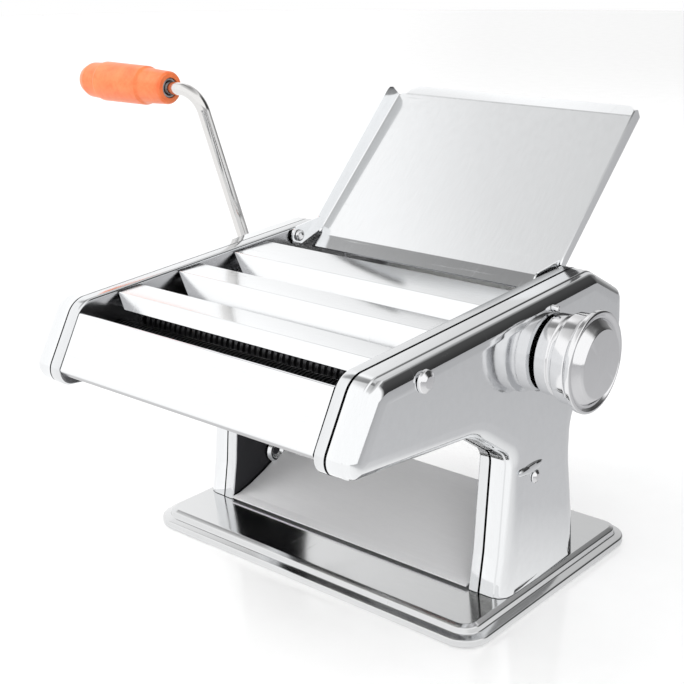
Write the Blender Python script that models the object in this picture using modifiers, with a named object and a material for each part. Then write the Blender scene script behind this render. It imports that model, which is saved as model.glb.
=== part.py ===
"""Manual pasta roller machine: sheet rollers, three pairs of cutters, tray, crank and thickness dial.

Axes: X along the rollers (crank at -X, dial at +X), Y to the back, Z up. The feet stand on z = 0.
Dimensions below are in millimetres from the middle of the base plate; meshes are made in metres,
and every object is moved by ORIGIN_SHIFT, which puts the world origin under the middle of the whole
machine's bounding box.
"""
from math import cos, pi, radians, sin, tan

import bmesh
import bpy
from mathutils import Matrix, Vector

MM = 0.001
ORIGIN_SHIFT = (41.3, 16.38, 0.0)
GAP = 0.3                       # clearance between pieces that touch
SHEET = 0.9                     # thickness of the pressed steel sheet

# base
BASE_X, BASE_Y = 107.4, 75.1    # half sizes of the bottom rim
BASE_CORNER = 14.0
BASE_TOP = 9.0
RIM_BOTTOM = 1.0
FOOT_RADIUS = 6.5
FOOT_X, FOOT_Y = 90.0, 58.0

# side plates and covers, as distances from the middle plane
WEB_IN = 80.0                   # inner face of the side plate
FLANGE_OUT = 86.4               # outer edge of the side plate's flange
COVER_IN = 86.8
COVER_FACE = 100.2

# corners of the side outline in (y, z, fillet radius), clockwise seen from +X
LEG_BOTTOM = BASE_TOP + GAP
SIDE_OUTLINE = [
    (-39.5, LEG_BOTTOM, 0.0),
    (-36.2, 30.0, 60.0),
    (-32.2, 79.9, 9.0),
    (-62.0, 99.6, 30.0),
    (-155.2, 108.4, 8.0),
    (-133.6, 146.7, 12.0),
    (35.5, 155.8, 14.0),
    (65.0, 140.4, 8.0),
    (67.0, 116.0, 16.0),
    (21.5, 88.5, 20.0),
    (21.2, 66.0, 60.0),
    (27.8, 28.0, 60.0),
    (29.5, LEG_BOTTOM, 0.0),
]
FILLET_STEPS = 4

# sheet rollers
REAR_Y, ROLLER_Z = 21.0, 125.0
ROLLER_SPACING = 26.5
GAP_TRAVEL = 2.5                # how far the front roller closes up
FRONT_Y = REAR_Y - ROLLER_SPACING
ROLLER_RADIUS = 11.75
ROLLER_HALF = 78.8
JOURNAL_RADIUS = 5.0
DIAL_Y = FRONT_Y + GAP_TRAVEL / 2

# cutters: nip line of each pair (y, z), front to back
CUTTER_NIPS = [(-119.0, 124.5), (-79.5, 126.5), (-39.5, 128.5)]
CUTTER_SPACING = 16.6
CUTTER_RADIUS = 7.9
CUTTER_JOURNAL = 3.5

# guide plates over the cutters: ridge (y, z), width of the flat band behind it, drop of the front leg
# forward lean of the front legs: a guess made on how bright their faces look, not a measured slope
GUIDE_LEAN = 0.40
GUIDES = [(-111.0, 146.4, 15.0, 7.0), (-71.0, 148.3, 16.0, 12.6), (-31.0, 150.2, 25.0, 12.6)]
PLATE_HALF = 79.4

# tray, as (y, z) in its open pose
TRAY_PIVOT = (18.0, 150.2)
TRAY_FOOT = (35.5, 148.0)
TRAY_HEAD = (110.0, 219.0)
TRAY_HALF = 78.2
TRAY_FLANGE = 9.0

# crank
CRANK_X = -117.0
CRANK_TOP = (-17.5, 230.5)
ROD_RADIUS = 3.5
GRIP_NEAR, GRIP_FAR = -138.0, -209.0

# dial
DIAL_BACK = 101.2
DIAL_FRONT = 119.2


# ---------------------------------------------------------------- scene helpers

def clear_scene():
    for obj in list(bpy.data.objects):
        bpy.data.objects.remove(obj)


def new_collection(name):
    group = bpy.data.collections.new(name)
    bpy.context.scene.collection.children.link(group)
    return group


def material(name, colour, roughness, metallic):
    made = bpy.data.materials.new(name)
    made.use_nodes = True
    shader = made.node_tree.nodes["Principled BSDF"]
    shader.inputs["Base Color"].default_value = (*colour, 1.0)
    shader.inputs["Roughness"].default_value = roughness
    shader.inputs["Metallic"].default_value = metallic
    made.diffuse_color = (*colour, 1.0)
    return made


clear_scene()
machine = new_collection("pasta_roller_machine")
cutters = new_collection("cutters")
steel = material("polished_steel", (0.78, 0.79, 0.80), 0.08, 1.0)
dark_steel = material("roller_steel", (0.55, 0.56, 0.58), 0.25, 1.0)
gear_steel = material("gear_steel", (0.42, 0.42, 0.43), 0.4, 1.0)
grip_plastic = material("orange_plastic", (0.95, 0.34, 0.09), 0.45, 0.0)
comb_plastic = material("comb_plastic", (0.85, 0.85, 0.83), 0.5, 0.0)
foot_rubber = material("foot_rubber", (0.05, 0.05, 0.05), 0.85, 0.0)


def world(location):
    return [(v + shift) * MM for v, shift in zip(location, ORIGIN_SHIFT)]


def place(name, mesh, look, location=(0, 0, 0)):
    obj = bpy.data.objects.new(name, mesh)
    obj.location = world(location)
    mesh.materials.append(look)
    machine.objects.link(obj)
    return obj


def bm_object(name, bm, look, location=(0, 0, 0)):
    mesh = bpy.data.meshes.new(name)
    bm.to_mesh(mesh)
    bm.free()
    return place(name, mesh, look, location)


def smooth(obj):
    for face in obj.data.polygons:
        face.use_smooth = True
    obj.data.set_sharp_from_angle(angle=radians(35))


def thicken(obj, thickness, offset=-1.0):
    shell = obj.modifiers.new("sheet", "SOLIDIFY")
    shell.thickness = thickness * MM
    shell.offset = offset
    shell.use_even_offset = True


def cut_with(obj, cutter):
    cut = obj.modifiers.new("cut " + cutter.name, "BOOLEAN")
    cut.operation = "DIFFERENCE"
    cut.solver = "EXACT"
    cut.object = cutter


def make_cutter(obj):
    machine.objects.unlink(obj)
    cutters.objects.link(obj)
    obj.hide_render = True
    obj.display_type = "WIRE"
    return obj


def cylinder(name, look, radius, x0, x1, y, z, segments=20):
    """Cylinder along X from x0 to x1."""
    bm = bmesh.new()
    bmesh.ops.create_cone(bm, cap_ends=True, segments=segments, radius1=radius * MM, radius2=radius * MM,
                          depth=abs(x1 - x0) * MM)
    obj = bm_object(name, bm, look, ((x0 + x1) / 2, y, z))
    obj.rotation_euler = (0, pi / 2, 0)
    smooth(obj)
    return obj


def hole(name, radius, x0, x1, y, z, segments=20):
    return make_cutter(cylinder(name, gear_steel, radius, x0, x1, y, z, segments))


def turned(name, look, profile, y, z, steps=24, closed=False):
    """Turned piece on an axis along X; profile is (x, radius) from +X to -X."""
    bm = bmesh.new()
    points = [bm.verts.new((r * MM, 0, x * MM)) for x, r in profile]
    for a, b in zip(points, points[1:]):
        bm.edges.new((a, b))
    if closed:
        bm.edges.new((points[-1], points[0]))
    obj = bm_object(name, bm, look, (0, y, z))
    obj.rotation_euler = (0, pi / 2, 0)
    screw = obj.modifiers.new("turn", "SCREW")
    screw.steps = steps
    screw.render_steps = steps
    screw.axis = "Z"
    screw.use_merge_vertices = True
    screw.merge_threshold = 0.00005
    screw.use_smooth_shade = True
    return obj


# ---------------------------------------------------------------- outlines

def side_outline(inset):
    """The side outline moved inwards by inset, with its fillets, as (y, z) points."""
    corners = [Vector((y, z)) for y, z, _ in SIDE_OUTLINE]
    count = len(corners)
    lines = []
    for i in range(count):
        a, b = corners[i], corners[(i + 1) % count]
        along = (b - a).normalized()
        shift = 0.0 if i == count - 1 else inset
        inward = Vector((along.y, -along.x)) * shift
        lines.append((a + inward, along))
    points = []
    for i in range(count):
        p, d = lines[i - 1]
        q, e = lines[i]
        turn = d.x * e.y - d.y * e.x
        step = ((q.x - p.x) * e.y - (q.y - p.y) * e.x) / turn
        corner = p + d * step
        radius = SIDE_OUTLINE[i][2]
        if radius == 0.0:
            points.append(corner)
            continue
        radius = max(radius - inset, 0.8) if turn < 0 else radius + inset
        angle = d.angle(e)
        reach = radius * tan(angle / 2)
        centre_side = Vector((-d.y, d.x)) * (1 if turn > 0 else -1)
        start = corner - d * reach
        centre = start + centre_side * radius
        spoke = start - centre
        for k in range(FILLET_STEPS + 1):
            t = angle * k / FILLET_STEPS * (1 if turn > 0 else -1)
            points.append(centre + Vector((spoke.x * cos(t) - spoke.y * sin(t),
                                           spoke.x * sin(t) + spoke.y * cos(t))))
    return points


def loft(name, look, rings, cap_first=False, cap_last=False):
    """Open surface through rings of equal length, with a flat cap where asked."""
    bm = bmesh.new()
    loops = [[bm.verts.new([v * MM for v in p]) for p in ring] for ring in rings]
    for low, high in zip(loops, loops[1:]):
        for i in range(len(low)):
            j = (i + 1) % len(low)
            bm.faces.new((low[i], low[j], high[j], high[i]))
    if cap_first:
        bm.faces.new(loops[0])
    if cap_last:
        bm.faces.new(loops[-1])
    bmesh.ops.recalc_face_normals(bm, faces=bm.faces)
    return bm_object(name, bm, look)


def folded_sheet(name, look, profile, half, thickness, offset=-1.0):
    """Sheet folded along X: profile is (y, z)."""
    bm = bmesh.new()
    left = [bm.verts.new((-half * MM, y * MM, z * MM)) for y, z in profile]
    edges = [bm.edges.new(pair) for pair in zip(left, left[1:])]
    moved = bmesh.ops.extrude_edge_only(bm, edges=edges)["geom"]
    ends = [v for v in moved if isinstance(v, bmesh.types.BMVert)]
    bmesh.ops.translate(bm, verts=ends, vec=(2 * half * MM, 0, 0))
    obj = bm_object(name, bm, look)
    thicken(obj, thickness, offset)
    return obj


# ---------------------------------------------------------------- base

def rounded_rectangle(inset, z, steps=5):
    radius = max(BASE_CORNER - inset, 1.0)
    ring = []
    for quarter, (sx, sy) in enumerate([(1, 1), (-1, 1), (-1, -1), (1, -1)]):
        cx = sx * (BASE_X - inset - radius)
        cy = sy * (BASE_Y - inset - radius)
        for k in range(steps + 1):
            a = pi / 2 * (quarter + k / steps)
            ring.append((cx + radius * cos(a), cy + radius * sin(a), z))
    return ring


def make_base():
    section = [(0.0, RIM_BOTTOM), (0.0, 3.4), (0.8, 4.4), (4.0, 4.9), (4.9, 5.6), (5.5, 7.8), (6.8, BASE_TOP)]
    pan = loft("base_plate", steel, [rounded_rectangle(i, z) for i, z in section], cap_last=True)
    thicken(pan, SHEET)
    for sx, side in ((-1, "left"), (1, "right")):
        for sy, end in ((-1, "front"), (1, "rear")):
            bm = bmesh.new()
            height = BASE_TOP - SHEET - GAP
            bmesh.ops.create_cone(bm, cap_ends=True, segments=20, radius1=FOOT_RADIUS * MM,
                                  radius2=(FOOT_RADIUS - 0.6) * MM, depth=height * MM)
            foot = bm_object(f"foot_{side}_{end}", bm, foot_rubber, (sx * FOOT_X, sy * FOOT_Y, height / 2))
            smooth(foot)


# ---------------------------------------------------------------- sides

def side_rings(sign, section):
    rings = []
    for inset, x in section:
        rings.append([(sign * x, p.x, p.y) for p in side_outline(inset)])
    return rings


def make_sides():
    web = [(2.2, WEB_IN), (0.7, WEB_IN + 0.7), (0.0, WEB_IN + 2.2), (0.0, FLANGE_OUT)]
    dome = [(0.2, COVER_IN), (0.5, 91.8), (1.5, 95.4), (3.6, 98.2), (6.2, 99.7), (9.2, COVER_FACE)]
    for sign, side in ((-1, "left"), (1, "right")):
        frame = loft(f"side_frame_{side}", steel, side_rings(sign, web), cap_first=True)
        thicken(frame, SHEET)
        x0, x1 = sign * (WEB_IN - 2), sign * (WEB_IN + 3)
        cut_with(frame, hole(f"bush_hole_{side}", 7.4, x0, x1, REAR_Y, ROLLER_Z))
        cut_with(frame, hole(f"slide_hole_{side}", 7.6, x0, x1, DIAL_Y, ROLLER_Z))
        for n, (y, z) in enumerate(CUTTER_NIPS, 1):
            for part, dy in (("front", -1), ("rear", 1)):
                cut_with(frame, hole(f"journal_hole_{side}_{n}_{part}", CUTTER_JOURNAL + 0.5, x0, x1,
                                     y + dy * CUTTER_SPACING / 2, z, 14))
        cut_with(frame, hole(f"pin_hole_{side}", 2.4, x0, x1, *TRAY_PIVOT, 14))
        cover = loft(f"side_cover_{side}", steel, side_rings(sign, dome), cap_last=True)
        thicken(cover, SHEET)
        cut_with(cover, hole(f"screw_hole_{side}", 2.6, sign * 94, sign * 105, *TIE_RODS["front"], 14))
        cut_with(cover, hole(f"rivet_hole_{side}", 2.0, sign * 94, sign * 105, *COVER_RIVET, 12))
        if sign > 0:
            cut_with(cover, hole("spindle_hole", 7.5, 94, 105, DIAL_Y, ROLLER_Z))
            cut_with(cover, hole("index_hole", 1.9, 94, 105, *INDEX_PIN, 12))
        else:
            cut_with(cover, hole("drive_hole_sheet", 7.0, -105, -94, REAR_Y, ROLLER_Z))
            for n, (y, z) in enumerate(CUTTER_NIPS, 1):
                cut_with(cover, hole(f"drive_hole_{n}", 6.2, -105, -94, y + CUTTER_SPACING / 2, z))


TIE_RODS = {"front": (-104.0, 139.5), "rear": (48.0, 114.0)}
COVER_RIVET = (-15.0, 66.0)
INDEX_PIN = (-5.0, 147.0)


def button_head(name, side_sign, radius, height, shank, depth, y, z, steps):
    """Domed fastener on a side cover, with its shank going in."""
    face = COVER_FACE + GAP
    top = face + height
    profile = [(top, 0.0), (top - height * 0.1, radius * 0.45), (top - height * 0.4, radius * 0.85),
               (face, radius), (face, shank), (face - depth, shank), (face - depth, 0.0)]
    if side_sign < 0:
        profile = [(-x, r) for x, r in reversed(profile)]
    turned(name, steel, profile, y, z, steps)


def make_fasteners():
    for name, (y, z) in TIE_RODS.items():
        cylinder(f"tie_rod_{name}", dark_steel, 3.2, -WEB_IN + GAP, WEB_IN - GAP, y, z, 14)
    for sign, side in ((-1, "left"), (1, "right")):
        button_head(f"cover_screw_{side}", sign, 5.2, 2.9, 2.2, 17.0, *TIE_RODS["front"], 14)
        button_head(f"cover_rivet_{side}", sign, 3.4, 1.8, 1.6, 4.0, *COVER_RIVET, 12)
    turned("dial_index_pin", steel, [(103.6, 0.0), (103.3, 1.0), (102.6, 1.5), (92.0, 1.5), (92.0, 0.0)],
           *INDEX_PIN, 8)


# ---------------------------------------------------------------- plates

def make_plates():
    folded_sheet("front_panel", steel, [(-131.6, 134.5), (-134.7, 143.4), (-149.6, 116.4), (-147.6, 113.6),
                                        (-137.0, 112.8)], PLATE_HALF, SHEET, 1.0)
    for n, (y, z, band, drop) in enumerate(GUIDES, 1):
        slope = z + band * 0.049
        profile = [(y - drop * GUIDE_LEAN, z - drop), (y, z), (y + band, slope),
                   (y + band + 4.6, slope - 11.6)]
        folded_sheet(f"cutter_guide_{n}", steel, profile, PLATE_HALF, SHEET)
    folded_sheet("rear_panel", steel, [(41.0, 147.4), (60.5, 138.4), (62.6, 118.0), (36.0, 101.4)],
                 PLATE_HALF, SHEET)
    chute = [(-40.0, 10.2), (-34.0, 10.6), (-25.0, 13.0), (-14.0, 17.2), (-3.0, 22.4), (8.0, 28.2),
             (20.0, 35.2)]
    folded_sheet("sheet_chute", steel, chute, PLATE_HALF - 0.2, SHEET, 1.0)
    for name, y, lean in (("front", FRONT_Y - 3.2, 2.6), ("rear", REAR_Y + 3.2, -2.6)):
        folded_sheet(f"roller_scraper_{name}", comb_plastic,
                     [(y, 112.0), (y + lean * 0.4, 107.0), (y - lean, 101.0)], ROLLER_HALF - 0.6, 1.2, 0.0)
    for n, (y, z) in enumerate(CUTTER_NIPS, 1):
        for name, side in (("front", -1), ("rear", 1)):
            near = y + side * 4.4
            comb = [(near, z - 9.3), (near + side * 1.6, z - 12.8), (near + side * 7.2, z - 13.6)]
            folded_sheet(f"cutter_comb_{n}_{name}", comb_plastic, comb, ROLLER_HALF - 0.6, 1.0, 0.0)


# ---------------------------------------------------------------- rollers and gears

def gear(name, x0, x1, y, z, teeth, pitch_radius, addendum, dedendum, bore, phase):
    """Spur gear with straight-sided teeth and a round bore, along X."""
    step = 2 * pi / teeth
    inner, outer = pitch_radius - dedendum, pitch_radius + addendum
    points = []
    for k in range(teeth):
        a = phase + k * step
        for share, radius in ((-0.22, inner), (-0.085, outer), (0.085, outer), (0.22, inner)):
            points.append((radius * cos(a + share * step), radius * sin(a + share * step)))
    bm = bmesh.new()
    verts = [bm.verts.new((x0 * MM, py * MM, pz * MM)) for py, pz in points]
    face = bm.faces.new(verts)
    moved = bmesh.ops.extrude_face_region(bm, geom=[face])["geom"]
    ends = [v for v in moved if isinstance(v, bmesh.types.BMVert)]
    bmesh.ops.translate(bm, verts=ends, vec=((x1 - x0) * MM, 0, 0))
    bmesh.ops.recalc_face_normals(bm, faces=bm.faces)
    obj = bm_object(name, bm, gear_steel, (0, y, z))
    cut_with(obj, hole(name + "_bore", bore, x0 - 1, x1 + 1, y, z, 16))
    return obj


def make_sheet_rollers():
    stub = [(84.0, 0.0), (84.0, JOURNAL_RADIUS), (ROLLER_HALF, JOURNAL_RADIUS), (ROLLER_HALF, ROLLER_RADIUS),
            (-ROLLER_HALF, ROLLER_RADIUS), (-ROLLER_HALF, JOURNAL_RADIUS), (-98.8, JOURNAL_RADIUS),
            (-98.8, 3.9), (-85.0, 3.9), (-85.0, 0.0)]
    turned("sheet_roller_rear", dark_steel, stub, REAR_Y, ROLLER_Z, 20)
    plain = [(86.6, 0.0), (86.6, JOURNAL_RADIUS), (ROLLER_HALF, JOURNAL_RADIUS), (ROLLER_HALF, ROLLER_RADIUS),
             (-ROLLER_HALF, ROLLER_RADIUS), (-ROLLER_HALF, JOURNAL_RADIUS), (-93.0, JOURNAL_RADIUS),
             (-93.0, 0.0)]
    turned("sheet_roller_front", dark_steel, plain, FRONT_Y, ROLLER_Z, 20)
    half = ROLLER_SPACING / 2
    gear("roller_gear_rear", -92.0, -86.5, REAR_Y, ROLLER_Z, 12, half, 1.1, 3.7, JOURNAL_RADIUS + 0.15, pi)
    gear("roller_gear_front", -92.0, -86.5, FRONT_Y, ROLLER_Z, 12, half, 1.1, 3.7, JOURNAL_RADIUS + 0.15,
         pi / 12)
    for sign, side in ((-1, "left"), (1, "right")):
        ring = [(84.0, 5.25), (84.0, 9.4), (81.3, 9.4), (81.3, 7.0), (79.6, 7.0), (79.6, 5.25)]
        if sign < 0:
            ring = [(-x, r) for x, r in reversed(ring)]
        turned(f"roller_bush_{side}", gear_steel, ring, REAR_Y, ROLLER_Z, 14, closed=True)


def box(name, look, low, high):
    bm = bmesh.new()
    bmesh.ops.create_cube(bm, size=1.0)
    size = [(b - a) * MM for a, b in zip(low, high)]
    bmesh.ops.scale(bm, verts=bm.verts, vec=size)
    return bm_object(name, bm, look, [(a + b) / 2 for a, b in zip(low, high)])


def make_bearing_blocks():
    z0, z1 = ROLLER_Z - 11.5, ROLLER_Z + 11.5
    right = box("bearing_block_right", gear_steel, (81.4, FRONT_Y - 8, z0), (92.0, FRONT_Y + 8, z1))
    cut_with(right, hole("block_bore_right", JOURNAL_RADIUS + 0.3, 80, 87.2, FRONT_Y, ROLLER_Z))
    slot = box("block_slot", gear_steel, (87.0, FRONT_Y - 3.4, ROLLER_Z - 5),
               (93.0, FRONT_Y + 3.4, ROLLER_Z + 5))
    cut_with(right, make_cutter(slot))
    left = box("bearing_block_left", gear_steel, (-85.6, FRONT_Y - 8, z0), (-81.4, FRONT_Y + 8, z1))
    cut_with(left, hole("block_bore_left", JOURNAL_RADIUS + 0.3, -87, -80, FRONT_Y, ROLLER_Z))


def make_cutters():
    for n, (y, z) in enumerate(CUTTER_NIPS, 1):
        for part, side in (("front", -1), ("rear", 1)):
            end = 97.6 if side > 0 else 84.0
            profile = [(89.0, 0.0), (89.0, CUTTER_JOURNAL), (ROLLER_HALF - 0.4, CUTTER_JOURNAL),
                       (ROLLER_HALF - 0.4, CUTTER_RADIUS), (0.4 - ROLLER_HALF, CUTTER_RADIUS),
                       (0.4 - ROLLER_HALF, CUTTER_JOURNAL)]
            if side > 0:
                profile += [(-84.0, CUTTER_JOURNAL), (-84.0, 5.0), (-end, 5.0), (-end, 3.7),
                            (-86.0, 3.7), (-86.0, 0.0)]
            else:
                profile += [(-end, CUTTER_JOURNAL), (-end, 0.0)]
            axis_y = y + side * CUTTER_SPACING / 2
            turned(f"cutter_roller_{n}_{part}", dark_steel, profile, axis_y, z, 14)
            gear(f"cutter_gear_{n}_{part}", 82.4, 87.6, axis_y, z, 12, CUTTER_SPACING / 2, 0.7, 1.1,
                 CUTTER_JOURNAL + 0.15, pi if side > 0 else pi / 12)


# ---------------------------------------------------------------- dial

def make_dial():
    spindle = cylinder("dial_spindle", gear_steel, 5.6, 93.2, 118.6, DIAL_Y, ROLLER_Z, 20)
    pin = make_cutter(cylinder("spindle_pin", gear_steel, 3.0, 88.6, 94.0, FRONT_Y, ROLLER_Z, 16))
    join = spindle.modifiers.new("pin", "BOOLEAN")
    join.operation = "UNION"
    join.solver = "EXACT"
    join.object = pin
    body = [(DIAL_FRONT, 5.9), (DIAL_FRONT, 19.8), (DIAL_FRONT - 0.5, 21.2), (112.2, 21.6), (111.0, 21.0),
            (110.0, 18.6), (108.8, 18.6), (107.8, 19.5), (102.6, 19.4), (DIAL_BACK, 18.6), (DIAL_BACK, 5.9)]
    turned("dial_body", steel, body, DIAL_Y, ROLLER_Z, 24, closed=True)
    cap = [(126.4, 0.0), (126.2, 15.0), (125.4, 16.8), (122.2, 20.4), (122.2, 21.4), (123.4, 22.3),
           (123.6, 23.2), (122.6, 24.2), (121.0, 24.2), (DIAL_FRONT + 0.4, 22.6), (DIAL_FRONT + 0.4, 0.0)]
    turned("dial_cap", steel, cap, DIAL_Y, ROLLER_Z, 24)


# ---------------------------------------------------------------- crank

def bend(corner, toward, away, radius, steps):
    """Points of a round bend of the rod at a corner between two straight runs."""
    u = (Vector(toward) - Vector(corner)).normalized()
    v = (Vector(away) - Vector(corner)).normalized()
    half = u.angle(v) / 2
    middle = (u + v).normalized()
    centre = Vector(corner) + middle * (radius / sin(half))
    start = Vector(corner) + u * (radius / tan(half)) - centre
    finish = Vector(corner) + v * (radius / tan(half)) - centre
    sweep = start.angle(finish)
    return [centre + (start * sin(sweep * (1 - k / steps)) + finish * sin(sweep * k / steps)) / sin(sweep)
            for k in range(steps + 1)]


def make_crank():
    inner = (-86.0, REAR_Y, ROLLER_Z)
    lower = (CRANK_X, REAR_Y, ROLLER_Z)
    upper = (CRANK_X, *CRANK_TOP)
    outer = (GRIP_FAR + 12, *CRANK_TOP)
    route = [Vector(inner)] + bend(lower, inner, upper, 9.0, 5) + bend(upper, lower, outer, 12.0, 5)
    route.append(Vector(outer))
    curve = bpy.data.curves.new("crank_arm", "CURVE")
    curve.dimensions = "3D"
    curve.bevel_depth = ROD_RADIUS * MM
    curve.bevel_resolution = 3
    curve.use_fill_caps = True
    line = curve.splines.new("POLY")
    line.points.add(len(route) - 1)
    for point, at in zip(line.points, route):
        point.co = (*[(v - o) * MM for v, o in zip(at, inner)], 1)
    arm = bpy.data.objects.new("crank_arm", curve)
    arm.location = world(inner)
    curve.materials.append(steel)
    machine.objects.link(arm)

    near, far = GRIP_NEAR, GRIP_FAR
    bore = ROD_RADIUS + 0.3
    body = [(near, 5.6), (near, 7.9), (near - 1.0, 8.8), (near - 17.0, 9.6), (near - 18.6, 10.7),
            (far + 18.5, 11.0), (far + 17.0, 10.2), (far + 8.0, 9.8), (far + 2.8, 7.8), (far, 3.4),
            (far, 0.0), (far + 10.0, 0.0), (far + 10.0, bore), (near - 9.0, bore), (near - 9.0, 5.6)]
    turned("crank_grip", grip_plastic, body, *CRANK_TOP, 16, closed=True)
    ferrule = [(near - 1.2, bore), (near - 1.2, 5.3), (near - 8.7, 5.3), (near - 8.7, bore)]
    turned("grip_ferrule", gear_steel, ferrule, *CRANK_TOP, 14, closed=True)


# ---------------------------------------------------------------- tray

def make_tray():
    foot, head = Vector(TRAY_FOOT), Vector(TRAY_HEAD)
    up = (head - foot).normalized()
    out = Vector((-up.y, up.x))
    splay = radians(8)
    length = (head - foot).length
    pivot = Vector(TRAY_PIVOT)
    half = TRAY_HALF
    lip_y, lip_z = head.x + 7.2, head.y + 4.0
    bm = bmesh.new()

    def vert(x, y, z):
        return bm.verts.new((x * MM, y * MM, z * MM))

    columns = [-half, -half + 5.0, half - 5.0, half]
    low = [vert(x, *foot) for x in columns]
    high = [vert(x, *head) for x in columns]
    for i in range(3):
        bm.faces.new((low[i], low[i + 1], high[i + 1], high[i]))
    lip = [vert(x, lip_y, lip_z) for x in (-half + 8.0, half - 8.0)]
    bm.faces.new((high[1], high[2], lip[1], lip[0]))
    apron = [vert(x, foot.x - 10.5, foot.y - 6.4) for x in columns[1:3]]
    bm.faces.new((low[2], low[1], apron[0], apron[1]))
    for side, corner_low, corner_high in ((-1, low[0], high[0]), (1, low[3], high[3])):
        lean = sin(splay) * TRAY_FLANGE
        top_low = foot + out * 6.0 + up * 2.0
        top_high = head + out * TRAY_FLANGE - up * 3.0
        ear = [pivot + Vector((cos(a), sin(a))) * 5.4 for a in [radians(v) for v in (-62, -110, -165, 140, 98)]]
        ring = [vert(side * half, p.x, p.y) for p in ear]
        edge = [vert(side * (half + 0.5), *top_low), vert(side * (half + lean), *top_high)]
        bm.faces.new([corner_low, *ring, edge[0]])
        bm.faces.new([corner_low, edge[0], edge[1], corner_high])
    bmesh.ops.recalc_face_normals(bm, faces=bm.faces)
    bm.transform(Matrix.Translation((0, -TRAY_PIVOT[0] * MM, -TRAY_PIVOT[1] * MM)))
    tray = bm_object("tray", bm, steel, (0, *TRAY_PIVOT))
    thicken(tray, SHEET, 0.0)
    cut_with(tray, hole("ear_hole_left", 2.4, -82, -74, *TRAY_PIVOT, 14))
    cut_with(tray, hole("ear_hole_right", 2.4, 74, 82, *TRAY_PIVOT, 14))
    for sign, side in ((-1, "left"), (1, "right")):
        profile = [(84.0, 0.0), (84.0, 2.0), (77.4, 2.0), (77.4, 3.3), (76.6, 3.1), (76.2, 2.2), (76.2, 0.0)]
        if sign < 0:
            profile = [(-x, r) for x, r in reversed(profile)]
        turned(f"tray_pin_{side}", steel, profile, *TRAY_PIVOT, 14)


make_base()
make_sides()
make_fasteners()
make_plates()
make_sheet_rollers()
make_bearing_blocks()
make_cutters()
make_dial()
make_crank()
make_tray()
print(len(machine.objects), "sub-parts")
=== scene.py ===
from math import cos, pi, radians, sin, tan

import bmesh
import bpy
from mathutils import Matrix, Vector
from mathutils.kdtree import KDTree


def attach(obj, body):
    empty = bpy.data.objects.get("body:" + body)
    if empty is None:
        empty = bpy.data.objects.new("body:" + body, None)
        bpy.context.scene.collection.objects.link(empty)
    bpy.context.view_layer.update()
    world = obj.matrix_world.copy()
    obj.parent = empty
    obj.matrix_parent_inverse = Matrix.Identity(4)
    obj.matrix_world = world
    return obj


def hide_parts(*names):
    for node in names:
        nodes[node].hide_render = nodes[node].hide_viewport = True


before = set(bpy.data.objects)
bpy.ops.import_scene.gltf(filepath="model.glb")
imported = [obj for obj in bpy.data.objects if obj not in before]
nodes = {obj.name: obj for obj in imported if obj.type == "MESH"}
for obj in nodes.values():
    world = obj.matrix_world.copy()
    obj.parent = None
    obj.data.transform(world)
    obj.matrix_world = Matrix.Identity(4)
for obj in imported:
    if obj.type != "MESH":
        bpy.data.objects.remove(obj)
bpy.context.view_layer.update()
originShift = Vector((41.3, 16.38, 0.0))  # millimetres, from the middle of the base plate
sheetMetal = 0.9


def at(x, y, z):
    return (Vector((x, y, z)) + originShift) / 1000


def roundCorners(corners, steps=6, closed=False):
    # corners are (u, v, radius)
    points = []
    count = len(corners)
    for i, (u, v, radius) in enumerate(corners):
        corner = Vector((u, v))
        isEnd = not closed and i in (0, count - 1)
        if radius == 0 or isEnd:
            points.append(corner)
            continue
        back = Vector(corners[i - 1][:2]) - corner
        ahead = Vector(corners[(i + 1) % count][:2]) - corner
        half = back.angle(ahead) / 2
        reach = min(radius / tan(half), back.length * 0.49, ahead.length * 0.49)
        spoke = reach * tan(half)
        backWay, aheadWay = back.normalized(), ahead.normalized()
        centre = corner + (backWay + aheadWay).normalized() * spoke / sin(half)
        start = corner + backWay * reach - centre
        end = corner + aheadWay * reach - centre
        sweep = start.angle(end)
        for k in range(steps + 1):
            share = k / steps
            points.append(centre + (start * sin(sweep * (1 - share)) + end * sin(sweep * share)) / sin(sweep))
    return points


def besideLine(points, distance):
    # the line moved sideways, for the other face of a folded sheet
    moved = []
    for i, point in enumerate(points):
        before = (point - points[i - 1]).normalized() if i > 0 else None
        after = (points[i + 1] - point).normalized() if i < len(points) - 1 else None
        before, after = before or after, after or before
        way = (before + after).normalized()
        side = Vector((-way.y, way.x))
        stretch = max(way.dot(after), 0.3)
        moved.append(point + side * distance / stretch)
    return moved


def pickNothing():
    if bpy.context.object and bpy.context.object.mode != "OBJECT":
        bpy.ops.object.mode_set(mode="OBJECT")
    bpy.ops.object.select_all(action="DESELECT")


def startLine(name, points, closed=True):
    # a circle of points laid on a line; points are (x, y, z) in millimetres
    pickNothing()
    bpy.ops.mesh.primitive_circle_add(vertices=len(points), radius=0.01)
    piece = bpy.context.object
    piece.name = piece.data.name = name
    bpy.ops.object.mode_set(mode="EDIT")
    bpy.ops.mesh.select_mode(type="EDGE")
    shape = bmesh.from_edit_mesh(piece.data)
    shape.verts.ensure_lookup_table()
    for vert, point in zip(shape.verts, points):
        vert.co = at(*point)
    if not closed:
        for edge in shape.edges:
            edge.select_set(False)
        shape.edges.get((shape.verts[0], shape.verts[len(points) - 1])).select_set(True)
        bmesh.update_edit_mesh(piece.data)
        bpy.ops.mesh.delete(type="EDGE")
        bpy.ops.mesh.select_all(action="SELECT")
    bmesh.update_edit_mesh(piece.data)
    return piece


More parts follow.
